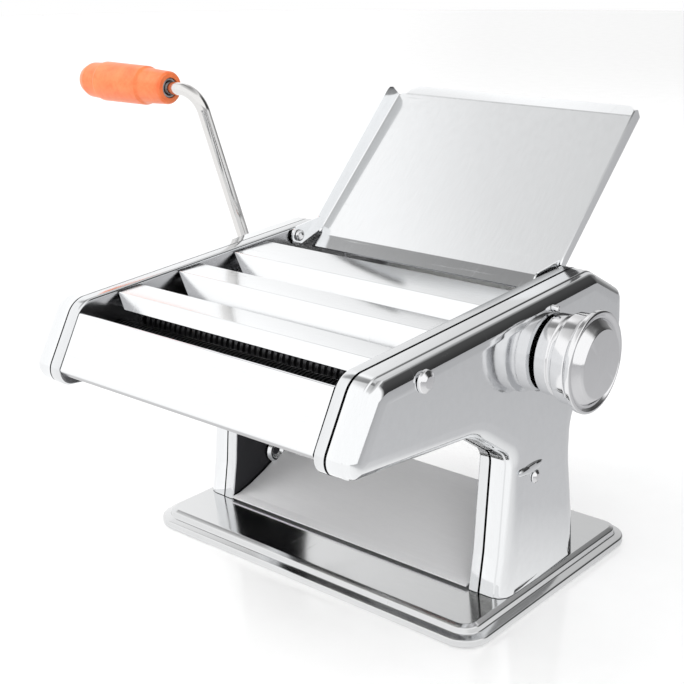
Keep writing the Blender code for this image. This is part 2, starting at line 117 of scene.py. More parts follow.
def growRing(piece, oldPoints, newPoints):
    # extrudes the picked ring and lays it on new points
    tree = KDTree(len(oldPoints))
    for i, point in enumerate(oldPoints):
        tree.insert(at(*point), i)
    tree.balance()
    bpy.ops.mesh.extrude_edges_move()
    shape = bmesh.from_edit_mesh(piece.data)
    for vert in shape.verts:
        if vert.select:
            vert.co = at(*newPoints[tree.find(vert.co)[1]])
    bmesh.update_edit_mesh(piece.data)


def capRing(piece, points):
    # closes the ring that lies on these points with one face
    tree = KDTree(len(points))
    for i, point in enumerate(points):
        tree.insert(at(*point), i)
    tree.balance()
    bpy.ops.mesh.select_mode(type="VERT")
    bpy.ops.mesh.select_all(action="DESELECT")
    shape = bmesh.from_edit_mesh(piece.data)
    for vert in shape.verts:
        vert.select_set(tree.find(vert.co)[2] < 1e-6)
    shape.select_flush(True)
    bmesh.update_edit_mesh(piece.data)
    bpy.ops.mesh.edge_face_add()
    bpy.ops.mesh.select_mode(type="EDGE")


def closeUp(piece, smoothAngle=32, outward=True):
    # merged, faces outwards, smooth up to an angle
    bpy.ops.mesh.select_mode(type="VERT")
    bpy.ops.mesh.select_all(action="SELECT")
    bpy.ops.mesh.remove_doubles(threshold=0.000002)
    if outward:
        bpy.ops.mesh.normals_make_consistent(inside=False)
    bpy.ops.object.mode_set(mode="OBJECT")
    shadeSmooth(piece, smoothAngle)


def shadeSmooth(piece, smoothAngle=32):
    pickNothing()
    piece.select_set(True)
    bpy.context.view_layer.objects.active = piece
    bpy.ops.object.shade_smooth_by_angle(angle=radians(smoothAngle))


def applyModifier(piece, modifier):
    pickNothing()
    piece.select_set(True)
    bpy.context.view_layer.objects.active = piece
    bpy.ops.object.modifier_apply(modifier=modifier.name)


def loft(name, rings, capFirst=False, capLast=False, smoothAngle=32):
    piece = startLine(name, rings[0])
    for old, new in zip(rings, rings[1:]):
        growRing(piece, old, new)
    if capFirst:
        capRing(piece, rings[0])
    if capLast:
        capRing(piece, rings[-1])
    closeUp(piece, smoothAngle)
    return piece


def turned(name, corners, y, z, steps=72, closed=False, rounding=4, smoothAngle=35):
    # spun about an axis along X; corners are (x, radius, rounding radius)
    profile = roundCorners(corners, rounding, closed)
    piece = startLine(name, [(p.x, y, z + p.y) for p in profile], closed)
    bpy.ops.mesh.select_all(action="SELECT")
    bpy.ops.mesh.spin(steps=steps, angle=2 * pi, center=at(0, y, z), axis=(1, 0, 0))
    closeUp(piece, smoothAngle)
    return piece


def thicken(piece, thickness, even=True):
    shell = piece.modifiers.new("sheet thickness", "SOLIDIFY")
    shell.thickness = thickness / 1000
    shell.offset = -1
    shell.use_even_offset = even
    applyModifier(piece, shell)


def bevelEdges(piece, width, segments=2, angle=40):
    rim = piece.modifiers.new("soft edges", "BEVEL")
    rim.width = width / 1000
    rim.segments = segments
    rim.limit_method = "ANGLE"
    rim.angle_limit = radians(angle)
    rim.harden_normals = True
    applyModifier(piece, rim)


def drill(piece, x0, x1, y, z, radius, sides=40):
    # a round hole along X
    pickNothing()
    bpy.ops.mesh.primitive_cylinder_add(vertices=sides, radius=radius / 1000, depth=abs(x1 - x0) / 1000,
                                        location=at((x0 + x1) / 2, y, z), rotation=(0, pi / 2, 0))
    drillBit = bpy.context.object
    cut = piece.modifiers.new("hole", "BOOLEAN")
    cut.operation = "DIFFERENCE"
    cut.solver = "EXACT"
    cut.object = drillBit
    applyModifier(piece, cut)
    bpy.data.objects.remove(drillBit)


def joinPieces(main, others):
    pickNothing()
    for piece in [main, *others]:
        piece.select_set(True)
    bpy.context.view_layer.objects.active = main
    bpy.ops.object.join()
    return main


def finishPiece(piece, body, look, slot, *replaced):
    # origin to the world's, finish on, riding on its body
    pickNothing()
    piece.select_set(True)
    bpy.context.view_layer.objects.active = piece
    bpy.ops.object.transform_apply(location=True, rotation=True, scale=True)
    piece.data.materials.clear()
    piece.data.materials.append(look)
    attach(piece, body)
    if replaced:
        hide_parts(*replaced)
    return piece


def newGroup(name, inputs, outputs):
    group = bpy.data.node_groups.new(name, "ShaderNodeTree")
    for label, kind, value in inputs:
        socket = group.interface.new_socket(name=label, in_out="INPUT", socket_type=kind)
        if value is not None:
            socket.default_value = value
    for label, kind in outputs:
        group.interface.new_socket(name=label, in_out="OUTPUT", socket_type=kind)
    group.nodes.new("NodeGroupInput").name = "in"
    group.nodes.new("NodeGroupOutput").name = "out"
    return group


def addNode(tree, kind, links=None, **values):
    node = tree.nodes.new(kind)
    for key, value in values.items():
        setattr(node, key, value)
    for socket, value in (links or {}).items():
        if isinstance(value, bpy.types.NodeSocket):
            tree.links.new(value, node.inputs[socket])
        else:
            node.inputs[socket].default_value = value
    return node


def rampNode(tree, factor, stops):
    node = addNode(tree, "ShaderNodeValToRGB", {"Fac": factor})
    ramp = node.color_ramp
    while len(ramp.elements) < len(stops):
        ramp.elements.new(0.5)
    for element, (place, value) in zip(ramp.elements, stops):
        element.position = place
        element.color = (value, value, value, 1) if isinstance(value, float) else (*value, 1)
    return node.outputs["Color"]


def mathNode(tree, operation, a, b=0.0, clamp=False):
    node = addNode(tree, "ShaderNodeMath", {0: a, 1: b}, operation=operation, use_clamp=clamp)
    return node.outputs[0]


def mixColour(tree, factor, a, b):
    node = addNode(tree, "ShaderNodeMix", data_type="RGBA")
    for socket, value in ((node.inputs[0], factor), (node.inputs[6], a), (node.inputs[7], b)):
        if isinstance(value, bpy.types.NodeSocket):
            tree.links.new(value, socket)
        else:
            socket.default_value = value
    return node.outputs[2]


def makePolishGroup():
    # fine polishing lines along one direction, and loose hair scratches
    group = newGroup("polishing lines",
                     [("Along", "NodeSocketVector", (1, 1, 1)), ("Fineness", "NodeSocketFloat", 1.0)],
                     [("Lines", "NodeSocketFloat"), ("Scratches", "NodeSocketFloat"),
                      ("Height", "NodeSocketFloat")])
    source, sink = group.nodes["in"], group.nodes["out"]
    where = addNode(group, "ShaderNodeTexCoord").outputs["Object"]
    stretched = addNode(group, "ShaderNodeVectorMath", {0: where, 1: source.outputs["Along"]},
                        operation="MULTIPLY")
    scaled = addNode(group, "ShaderNodeVectorMath",
                     {0: stretched.outputs[0], "Scale": source.outputs["Fineness"]}, operation="SCALE")
    lines = addNode(group, "ShaderNodeTexNoise", {"Vector": scaled.outputs[0], "Scale": 60.0, "Detail": 4.0,
                                                  "Roughness": 0.65})
    turnedWay = addNode(group, "ShaderNodeMapping", {"Vector": where, "Rotation": (0.5, 0.9, 0.7),
                                                     "Scale": (900.0, 22.0, 60.0)})
    hairs = addNode(group, "ShaderNodeTexNoise", {"Vector": turnedWay.outputs[0], "Scale": 1.0, "Detail": 2.0})
    otherWay = addNode(group, "ShaderNodeMapping", {"Vector": where, "Rotation": (-0.8, 0.3, -0.6),
                                                    "Scale": (24.0, 800.0, 50.0)})
    moreHairs = addNode(group, "ShaderNodeTexNoise", {"Vector": otherWay.outputs[0], "Scale": 1.0,
                                                      "Detail": 2.0})
    sparse = rampNode(group, hairs.outputs["Fac"], [(0.70, 0.0), (0.74, 1.0)])
    sparseToo = rampNode(group, moreHairs.outputs["Fac"], [(0.71, 0.0), (0.75, 1.0)])
    scratches = mathNode(group, "MAXIMUM", sparse, sparseToo)
    height = mathNode(group, "SUBTRACT", lines.outputs["Fac"], mathNode(group, "MULTIPLY", scratches, 0.6))
    group.links.new(lines.outputs["Fac"], sink.inputs["Lines"])
    group.links.new(scratches, sink.inputs["Scratches"])
    group.links.new(height, sink.inputs["Height"])
    return group


def makeHandMarksGroup():
    # smudges from hands and a little flour dust on faces that look up
    group = newGroup("hand marks and dust", [("Size", "NodeSocketFloat", 1.0)],
                     [("Smudge", "NodeSocketFloat"), ("Dust", "NodeSocketFloat")])
    source, sink = group.nodes["in"], group.nodes["out"]
    where = addNode(group, "ShaderNodeTexCoord").outputs["Object"]
    scaled = addNode(group, "ShaderNodeVectorMath", {0: where, "Scale": source.outputs["Size"]},
                     operation="SCALE")
    patches = addNode(group, "ShaderNodeTexNoise", {"Vector": scaled.outputs[0], "Scale": 26.0, "Detail": 3.0,
                                                    "Distortion": 0.8})
    ridges = addNode(group, "ShaderNodeTexWave", {"Vector": scaled.outputs[0], "Scale": 260.0,
                                                  "Distortion": 9.0,
                                                  "Detail": 1.0, "Detail Scale": 2.0}, wave_type="RINGS")
    zones = rampNode(group, patches.outputs["Fac"], [(0.50, 0.0), (0.72, 1.0)])
    ridgeShare = mathNode(group, "MULTIPLY_ADD", ridges.outputs["Fac"], 0.35)
    ridgeShare.node.inputs[2].default_value = 0.65
    group.links.new(mathNode(group, "MULTIPLY", zones, ridgeShare), sink.inputs["Smudge"])
    facing = addNode(group, "ShaderNodeSeparateXYZ",
                     {0: addNode(group, "ShaderNodeNewGeometry").outputs["Normal"]}).outputs["Z"]
    upward = rampNode(group, facing, [(0.2, 0.0), (0.9, 1.0)])
    grains = addNode(group, "ShaderNodeTexNoise", {"Vector": where, "Scale": 1800.0, "Detail": 1.0})
    specks = rampNode(group, grains.outputs["Fac"], [(0.66, 0.0), (0.72, 1.0)])
    group.links.new(mathNode(group, "MULTIPLY", upward, specks), sink.inputs["Dust"])
    return group


def makeEdgeWearGroup():
    # lighter, smoother metal or plastic along outer edges
    group = newGroup("edge wear", [("Reach", "NodeSocketFloat", 0.56)], [("Wear", "NodeSocketFloat")])
    source, sink = group.nodes["in"], group.nodes["out"]
    sharpness = addNode(group, "ShaderNodeNewGeometry").outputs["Pointiness"]
    where = addNode(group, "ShaderNodeTexCoord").outputs["Object"]
    broken = addNode(group, "ShaderNodeTexNoise", {"Vector": where, "Scale": 220.0, "Detail": 3.0})
    above = mathNode(group, "SUBTRACT", sharpness, source.outputs["Reach"])
    mask = mathNode(group, "MULTIPLY", above, 14.0, clamp=True)
    group.links.new(mathNode(group, "MULTIPLY", mask, broken.outputs["Fac"]), sink.inputs["Wear"])
    return group


def makeCastingGroup():
    # cloudy grain of plastic, rubber and rough metal
    group = newGroup("cloudy grain", [("Size", "NodeSocketFloat", 1.0)],
                     [("Clouds", "NodeSocketFloat"), ("Grain", "NodeSocketFloat")])
    source, sink = group.nodes["in"], group.nodes["out"]
    where = addNode(group, "ShaderNodeTexCoord").outputs["Object"]
    scaled = addNode(group, "ShaderNodeVectorMath", {0: where, "Scale": source.outputs["Size"]},
                     operation="SCALE")
    clouds = addNode(group, "ShaderNodeTexNoise", {"Vector": scaled.outputs[0], "Scale": 90.0, "Detail": 5.0,
                                                   "Roughness": 0.7, "Distortion": 0.4})
    grain = addNode(group, "ShaderNodeTexVoronoi", {"Vector": scaled.outputs[0], "Scale": 1400.0})
    group.links.new(clouds.outputs["Fac"], sink.inputs["Clouds"])
    group.links.new(grain.outputs["Distance"], sink.inputs["Grain"])
    return group


polishGroup = makePolishGroup()
handMarksGroup = makeHandMarksGroup()
edgeWearGroup = makeEdgeWearGroup()
castingGroup = makeCastingGroup()


def placeGroup(tree, group, **values):
    node = tree.nodes.new("ShaderNodeGroup")
    node.node_tree = group
    for key, value in values.items():
        node.inputs[key].default_value = value
    return node


def steelFinish(name, colour, roughness, spread=0.05, along=(1.0, 12.0, 12.0), fineness=1.0, bump=0.03,
                smudges=0.06, darkLines=0.03, dust=0.05,
                paintedShadeColour=None, paintedShadeHeights=(0.10, 0.12), metallic=1.0):
    # polished or ground steel: colour, roughness and relief all vary over it
    look = bpy.data.materials.new(name)
    look.use_nodes = True
    tree = look.node_tree
    shader = tree.nodes["Principled BSDF"]
    shader.inputs["Metallic"].default_value = metallic
    polish = placeGroup(tree, polishGroup, Along=along, Fineness=fineness)
    marks = placeGroup(tree, handMarksGroup, Size=1.0)
    wear = placeGroup(tree, edgeWearGroup, Reach=0.56)
    lineTone = rampNode(tree, polish.outputs["Lines"],
                        [(0.3, tuple(c * (1 - darkLines) for c in colour)), (0.7, colour)])
    if paintedShadeColour:  # painted shade: a darker tone below a given height stands in for shadow and dark reflections
        where = addNode(tree, "ShaderNodeTexCoord").outputs["Object"]
        height = addNode(tree, "ShaderNodeSeparateXYZ", {0: where})
        paintedShadeShare = rampNode(tree, mathNode(tree, "MULTIPLY", height.outputs["Z"], 5.0), 
                            [(paintedShadeHeights[0] * 5, 1.0), (paintedShadeHeights[1] * 5, 0.0)])
        lineTone = mixColour(tree, paintedShadeShare, lineTone, (*paintedShadeColour, 1))
    wornTone = mixColour(tree, wear.outputs["Wear"], lineTone, (*[min(1.0, c * 1.1) for c in colour], 1))
    dustShare = mathNode(tree, "MULTIPLY", marks.outputs["Dust"], dust)
    tree.links.new(mixColour(tree, dustShare, wornTone, (0.86, 0.85, 0.82, 1)), shader.inputs["Base Color"])
    rough = mathNode(tree, "MULTIPLY", polish.outputs["Lines"], spread)
    rough = mathNode(tree, "ADD", rough, roughness)
    rough = mathNode(tree, "ADD", rough, mathNode(tree, "MULTIPLY", marks.outputs["Smudge"], smudges))
    scratched = mathNode(tree, "MULTIPLY", polish.outputs["Scratches"], 0.12)
    rough = mathNode(tree, "ADD", rough, scratched, clamp=True)
    tree.links.new(rough, shader.inputs["Roughness"])
    relief = addNode(tree, "ShaderNodeBump", {"Height": polish.outputs["Height"], "Strength": bump,
                                              "Distance": 0.0002})
    tree.links.new(relief.outputs["Normal"], shader.inputs["Normal"])
    return look


def mouldedFinish(name, dark, light, roughness, size=1.0, bump=0.1, coat=0.0):
    # plastic and rubber: clouded colour and a fine grain
    look = bpy.data.materials.new(name)
    look.use_nodes = True
    tree = look.node_tree
    shader = tree.nodes["Principled BSDF"]
    shader.inputs["Coat Weight"].default_value = coat
    shader.inputs["Coat Roughness"].default_value = 0.25
    casting = placeGroup(tree, castingGroup, Size=size)
    wear = placeGroup(tree, edgeWearGroup, Reach=0.55)
    tone = rampNode(tree, casting.outputs["Clouds"], [(0.32, dark), (0.68, light)])
    wornTone = mixColour(tree, wear.outputs["Wear"], tone, (*[min(1.0, c * 1.15 + 0.03) for c in light], 1))
    tree.links.new(wornTone, shader.inputs["Base Color"])
    rough = mathNode(tree, "MULTIPLY", casting.outputs["Clouds"], 0.2)
    tree.links.new(mathNode(tree, "ADD", rough, roughness, clamp=True), shader.inputs["Roughness"])
    height = mathNode(tree, "ADD", mathNode(tree, "MULTIPLY", casting.outputs["Clouds"], 0.7),
                      mathNode(tree, "MULTIPLY", casting.outputs["Grain"], 0.3))
    relief = addNode(tree, "ShaderNodeBump", {"Height": height, "Strength": bump, "Distance": 0.0004})
    tree.links.new(relief.outputs["Normal"], shader.inputs["Normal"])
    return look


coverSteel = steelFinish("polished cover steel", (0.80, 0.81, 0.82), 0.035, 0.05, along=(30, 4, 4))
panelSteel = steelFinish("polished panel steel", (0.84, 0.85, 0.86), 0.10, 0.07, along=(1.5, 14, 14))
# painted shade: the front plate's lip below 116 mm gets a grey band standing in for the shade under it
frontSteel = steelFinish("polished front steel", (0.84, 0.85, 0.86), 0.05, 0.05, along=(1.5, 14, 14),
                         paintedShadeColour=(0.40, 0.40, 0.41), paintedShadeHeights=(0.1156, 0.1164))
traySteel = steelFinish("polished tray steel", (0.83, 0.84, 0.85), 0.08, 0.07, along=(12, 2, 2), smudges=0.04)
baseSteel = steelFinish("polished base steel", (0.66, 0.665, 0.67), 0.09, 0.07, along=(2, 12, 2))
frameSteel = steelFinish("side plate steel", (0.72, 0.73, 0.74), 0.06, 0.08, along=(12, 3, 3))
# painted shade: a darker copy of the side plate steel for the inner web, near black below 100 mm, standing in for
# its shade and dark reflections
shadedWebSteel = steelFinish("inner web steel with painted shade", (0.46, 0.46, 0.47), 0.16, 0.10, along=(8, 3, 3), smudges=0.12,
                       paintedShadeColour=(0.055, 0.055, 0.06))
satinSteel = steelFinish("satin chute steel", (0.86, 0.86, 0.87), 0.34, 0.10, along=(2, 14, 14), smudges=0.05,
                         metallic=0.12)
knobSteel = steelFinish("turned knob steel", (0.78, 0.78, 0.79), 0.07, 0.07, along=(22, 2, 2), bump=0.05)
rodSteel = steelFinish("plated rod steel", (0.72, 0.71, 0.70), 0.08, 0.08, along=(4, 4, 4), smudges=0.12)
rollerSteel = steelFinish("ground roller steel", (0.58, 0.59, 0.61), 0.16, 0.14, along=(26, 1, 1), bump=0.12,
                          darkLines=0.12)
cutterSteel = steelFinish("cutter steel", (0.14, 0.14, 0.145), 0.32, 0.14, along=(20, 2, 2), bump=0.1,
                          darkLines=0.2)
gearSteel = steelFinish("machined gear steel", (0.42, 0.42, 0.43), 0.30, 0.2, along=(18, 3, 3), bump=0.16,
                        darkLines=0.25, smudges=0.14)
gripPlastic = mouldedFinish("orange grip plastic", (0.84, 0.14, 0.026), (0.92, 0.25, 0.08), 0.34, 1.1,
                            0.12, 0.25)
combPlastic = mouldedFinish("pale comb plastic", (0.72, 0.71, 0.68), (0.86, 0.85, 0.82), 0.42, 0.7, 0.08)
footRubber = mouldedFinish("black foot rubber", (0.012, 0.012, 0.012), (0.035, 0.034, 0.033), 0.6, 1.5, 0.3)
print("finishes made")


base = {
    "halfWidth": 107.4, "halfDepth": 75.1, "corner": 14.0, "cornerSteps": 14,
    "section": [(0.0, 1.0, 0), (0.0, 4.3, 1.0), (4.4, 5.1, 0.7), (5.0, 7.9, 0.9), (7.4, 9.0, 0.9), (8.6, 9.0, 0)],
}


def baseRing(inset, z):
    radius = max(base["corner"] - inset, 1.0)
    ring = []
    for quarter, (sx, sy) in enumerate([(1, 1), (-1, 1), (-1, -1), (1, -1)]):
        cx, cy = sx * (base["halfWidth"] - inset - radius), sy * (base["halfDepth"] - inset - radius)
        for k in range(base["cornerSteps"] + 1):
            a = pi / 2 * (quarter + k / base["cornerSteps"])
            ring.append((cx + radius * cos(a), cy + radius * sin(a), z))
    return ring


def makeBasePlate():
    section = roundCorners(base["section"], 5)
    piece = loft("base_pan", [baseRing(p.x, p.y) for p in section], capLast=True)
    thicken(piece, sheetMetal)
    shadeSmooth(piece, 30)
    finishPiece(piece, "housing", baseSteel, "polished_steel", "base_plate")


foot = {"radius": 6.5, "height": 7.8, "x": 90.0, "y": 58.0}


def makeFeet():
    for sideName, sx in (("left", -1), ("right", 1)):
        for endName, sy in (("front", -1), ("rear", 1)):
            name = f"foot_{sideName}_{endName}"
            pickNothing()
            bpy.ops.mesh.primitive_cylinder_add(vertices=40, radius=foot["radius"] / 1000,
                                                depth=foot["height"] / 1000,
                                                location=at(sx * foot["x"], sy * foot["y"], foot["height"] / 2))
            piece = bpy.context.object
            piece.name = piece.data.name = "rubber_" + name
            bpy.ops.object.mode_set(mode="EDIT")
            bpy.ops.mesh.select_mode(type="FACE")
            bpy.ops.mesh.select_all(action="DESELECT")
            shape = bmesh.from_edit_mesh(piece.data)
            for face in shape.faces:
                face.select_set(face.normal.z < -0.9)  # a shallow cup under the foot
            bmesh.update_edit_mesh(piece.data)
            bpy.ops.mesh.inset(thickness=0.0016)
            bpy.ops.mesh.inset(thickness=0.0006, depth=-0.0007)
            bpy.ops.object.mode_set(mode="OBJECT")
            bevelEdges(piece, 0.5, 3)
            shadeSmooth(piece, 35)
            finishPiece(piece, "housing", footRubber, "foot_rubber", name)


makeBasePlate()
makeFeet()
print("base made")


sides = {
    "outline": [
        (-39.5, 9.3, 0.0), (-36.2, 30.0, 60.0), (-32.2, 79.9, 9.0), (-62.0, 99.6, 30.0), (-155.2, 108.4, 8.0),
        (-133.6, 146.7, 12.0), (35.5, 155.8, 14.0), (65.0, 140.4, 8.0), (67.0, 116.0, 16.0), (21.5, 88.5, 20.0),
        (21.2, 66.0, 60.0), (27.8, 28.0, 60.0), (29.5, 9.3, 0.0),
    ],
    "cornerSteps": 10,
    "frameSection": [(2.4, 80.0, 0), (0.0, 80.0, 2.2), (0.0, 85.7, 0)],
    "domeSection": [(0.2, 86.8, 0), (0.3, 94.0, 0.6), (0.95, 94.6, 0.25), (1.3, 96.9, 3.2), (4.6, 99.6, 8.0),
                    (9.2, 100.2, 6.0), (10.6, 100.2, 0)],
    "screwPlace": (-104.0, 139.5), "rivetPlace": (-15.0, 66.0), "pinPlace": (-5.0, 147.0),
    "leaf": [(100.1, 1.0), (100.9, 0.8), (101.4, 0.4)], "leafPlace": (-18.5, 71.4), "leafSize": (11.0, 2.8),
    "dimple": [(-79.2, 7.2, 0), (-77.4, 6.2, 0.8), (-77.2, 4.6, 0.8), (-79.0, 3.0, 0.6), (-79.0, 0.0, 0)],
    "dimplePlace": (-3.9, 27.6),
    "trayPivot": (18.0, 150.2), "dialPlace": (-4.25, 125.0), "rollerPlace": (21.0, 125.0),
}
cutterNips = [(-119.0, 124.5), (-79.5, 126.5), (-39.5, 128.5)]
cutterSpacing = 16.6


def sideRing(inset, x):
    # the side outline moved inwards, with its corners rounded
    outline = sides["outline"]
    count = len(outline)
    lines = []
    for i in range(count):
        a, b = Vector(outline[i][:2]), Vector(outline[(i + 1) % count][:2])
        along = (b - a).normalized()
        move = 0.0 if i == count - 1 else inset
        lines.append((a + Vector((along.y, -along.x)) * move, along))
    corners = []
    for i in range(count):
        p, d = lines[i - 1]
        q, e = lines[i]
        turn = d.x * e.y - d.y * e.x
        step = ((q.x - p.x) * e.y - (q.y - p.y) * e.x) / turn
        corner = p + d * step
        radius = outline[i][2]
        if radius:
            radius = max(radius - inset, 0.8) if turn < 0 else radius + inset
        corners.append((corner.x, corner.y, radius))
    return [(x, p.x, p.y) for p in roundCorners(corners, sides["cornerSteps"], closed=True)]


def flipProfile(profile, side):
    return profile if side > 0 else [(-x, r, rounding) for x, r, rounding in reversed(profile)]


def makeSideFrames():
    for sideName, side in (("left", -1), ("right", 1)):
        section = roundCorners(sides["frameSection"], 5)
        piece = loft("frame_" + sideName, [sideRing(p.x, side * p.y) for p in section], capFirst=True)
        thicken(piece, sheetMetal, even=False)
        x0, x1 = side * 78, side * 83
        drill(piece, x0, x1, *sides["rollerPlace"], 7.4)
        drill(piece, x0, x1, *sides["dialPlace"], 7.6)
        drill(piece, x0, x1, *sides["trayPivot"], 2.3, 24)
        for y, z in cutterNips:
            for way in (-1, 1):
                drill(piece, x0, x1, y + way * cutterSpacing / 2, z, 4.0, 28)
        profile = flipProfile(sides["dimple"], -side)
        joinPieces(piece, [turned("pressed_dimple", profile, *sides["dimplePlace"], steps=40)])
        shadeSmooth(piece, 30)
        finishPiece(piece, "housing", frameSteel, "polished_steel", "side_frame_" + sideName)
        piece.data.materials.append(shadedWebSteel)
        for face in piece.data.polygons:  # the flat web takes the darker, rougher steel with painted shade; the flange keeps the bright steel
            face.material_index = int(abs(face.normal.x) > 0.99)


def makeSideCovers():
    for sideName, side in (("left", -1), ("right", 1)):
        section = roundCorners(sides["domeSection"], 5)
        piece = loft("cover_" + sideName, [sideRing(p.x, side * p.y) for p in section], capLast=True)
        thicken(piece, sheetMetal, even=False)
        x0, x1 = side * 94, side * 106
        drill(piece, x0, x1, *sides["screwPlace"], 2.6, 28)
        drill(piece, x0, x1, *sides["rivetPlace"], 2.0, 24)
        if side > 0:
            drill(piece, x0, x1, *sides["dialPlace"], 7.5)
            drill(piece, x0, x1, *sides["pinPlace"], 1.8, 24)
        else:
            drill(piece, x0, x1, *sides["rollerPlace"], 7.0)
            for y, z in cutterNips:
                drill(piece, x0, x1, y + cutterSpacing / 2, z, 6.2)
        rings = []
        for x, share in sides["leaf"]:  # a small pressed leaf beside the rivet
            cy, cz = sides["leafPlace"]
            ry, rz = sides["leafSize"][0] * share, sides["leafSize"][1] * share
            rings.append([(side * x, cy + ry * cos(2 * pi * k / 32), cz + rz * sin(2 * pi * k / 32))
                          for k in range(32)])
        joinPieces(piece, [loft("pressed_leaf", rings, capFirst=True, capLast=True)])
        shadeSmooth(piece, 30)
        finishPiece(piece, "housing", coverSteel, "polished_steel", "side_cover_" + sideName)


fasteners = {
    "screw": [(103.4, 0.0, 0), (103.2, 2.6, 1.5), (101.8, 5.0, 0.8), (100.4, 5.3, 0.2), (100.4, 2.2, 0.1),
              (84.0, 2.2, 0.2), (84.0, 0.0, 0)],
    "rivet": [(102.3, 0.0, 0), (102.1, 1.7, 1.0), (101.0, 3.3, 0.5), (100.4, 3.4, 0.2), (100.4, 1.6, 0.1),
              (96.5, 1.6, 0.2), (96.5, 0.0, 0)],
    "pin": [(103.6, 0.0, 0), (103.5, 1.2, 0.6), (102.2, 1.5, 0.3), (92.0, 1.5, 0.2), (92.0, 0.0, 0)],
    "trayPin": [(84.0, 0.0, 0), (84.0, 2.0, 0.3), (77.4, 2.0, 0), (77.4, 3.3, 0.2), (76.5, 3.1, 0.3),
                (76.2, 2.2, 0.2), (76.6, 1.2, 0.2), (76.6, 0.0, 0)],
}


def makeFasteners():
    for sideName, side in (("left", -1), ("right", 1)):
        for kind, node, place in (("screw", "cover_screw_", "screwPlace"), ("rivet", "cover_rivet_", "rivetPlace"),
                                  ("trayPin", "tray_pin_", "trayPivot")):
            piece = turned("polished_" + node + sideName, flipProfile(fasteners[kind], side), *sides[place],
                           steps=40)
            finishPiece(piece, "housing", knobSteel, "polished_steel", node + sideName)
    piece = turned("polished_index_pin", fasteners["pin"], *sides["pinPlace"], steps=28)
    finishPiece(piece, "housing", knobSteel, "polished_steel", "dial_index_pin")


makeSideFrames()
makeSideCovers()
makeFasteners()
print("sides made")


plates = {
    "half": 79.4,
    "front": [(-131.6, 134.5, 0), (-134.7, 143.4, 1.3), (-149.6, 116.4, 1.4), (-147.6, 113.6, 1.0),
              (-137.0, 112.8, 0)],
    "rear": [(41.0, 147.4, 0), (60.5, 138.4, 4.0), (62.6, 118.0, 9.0), (36.0, 101.4, 0)],
    "chute": [(-40.0, 10.2, 0), (-34.0, 10.6, 8.0), (-25.0, 13.0, 20.0), (-14.0, 17.2, 30.0), (-3.0, 22.4, 40.0),
              (8.0, 28.2, 40.0), (20.0, 35.2, 0)],
    # ridge (y, z), width of the flat band, drop of the front leg
    "guides": [(-111.0, 146.4, 15.0, 7.0), (-71.0, 148.3, 16.0, 12.6), (-31.0, 150.2, 25.0, 12.6)],
    "guideLean": 0.40, "guideTaper": 1.08,
}


def foldedPlate(name, corners, half, thickness, side=1, taper=0.0):
    # a sheet folded along X; side says on which side of the line its thickness lies
    line = roundCorners(corners, 6)
    section = line + list(reversed(besideLine(line, side * thickness)))
    ridgeY, ridgeZ = corners[1][:2]
    rings = []
    for x in (-half, -half + 0.4, half - 0.4, half):
        # ends of the front leg cut on a slant, a guess that goes with its forward lean
        cuts = [taper * max(ridgeZ - 0.8 - p.y, 0.0) * (p.y < ridgeZ and p.x < ridgeY + 2) for p in section]
        rings.append([(x - cut * (1 if x > 0 else -1), p.x, p.y) for p, cut in zip(section, cuts)])
    return loft(name, rings, capFirst=True, capLast=True, smoothAngle=30)


def makePlates():
    finishPiece(foldedPlate("front_plate", plates["front"], plates["half"], sheetMetal, 1), "housing",
                frontSteel, "polished_steel", "front_panel")
    for n, (y, z, band, drop) in enumerate(plates["guides"], 1):
        slope = z + band * 0.049
        corners = [(y - drop * plates["guideLean"], z - drop, 0), (y, z, 0.7), (y + band, slope, 0.9),
                   (y + band + 4.6, slope - 11.6, 0)]
        guide = foldedPlate(f"guide_plate_{n}", corners, plates["half"], sheetMetal, -1, plates["guideTaper"])
        finishPiece(guide, "housing", panelSteel, "polished_steel", f"cutter_guide_{n}")
    finishPiece(foldedPlate("rear_plate", plates["rear"], plates["half"], sheetMetal, -1), "housing",
                panelSteel, "polished_steel", "rear_panel")
    finishPiece(foldedPlate("chute_plate", plates["chute"], plates["half"] - 0.2, sheetMetal, 1), "housing",
                satinSteel, "polished_steel", "sheet_chute")


makePlates()
print("plates made")


rollers = {
    "radius": 11.75, "half": 78.8, "rearPlace": (21.0, 125.0), "frontPlace": (-5.5, 125.0),
    "cutterRadius": 7.9, "cutterHalf": 78.4, "grooveDepth": 1.5, "pitches": [2.4, 3.6, 6.6], "toothShare": 0.5,
}


def makeSheetRollers():
    r, h = rollers["radius"], rollers["half"]
    driven = [(84.0, 0.0, 0), (84.0, 5.0, 0.6), (h, 5.0, 0), (h, r, 0.5), (-h, r, 0.5), (-h, 5.0, 0),
              (-98.8, 5.0, 0.6), (-98.8, 3.9, 0.2), (-85.0, 3.9, 0), (-85.0, 0.0, 0)]
    piece = turned("smooth_roller_rear", driven, *rollers["rearPlace"], steps=64, rounding=3)
    finishPiece(piece, "sheet_drive", rollerSteel, "roller_steel", "sheet_roller_rear")
    moving = [(86.6, 0.0, 0), (86.6, 5.0, 0.6), (h, 5.0, 0), (h, r, 0.5), (-h, r, 0.5), (-h, 5.0, 0),
              (-93.0, 5.0, 0.6), (-93.0, 0.0, 0)]
    piece = turned("smooth_roller_front", moving, *rollers["frontPlace"], steps=64, rounding=3)
    finishPiece(piece, "sheet_idler", rollerSteel, "roller_steel", "sheet_roller_front")


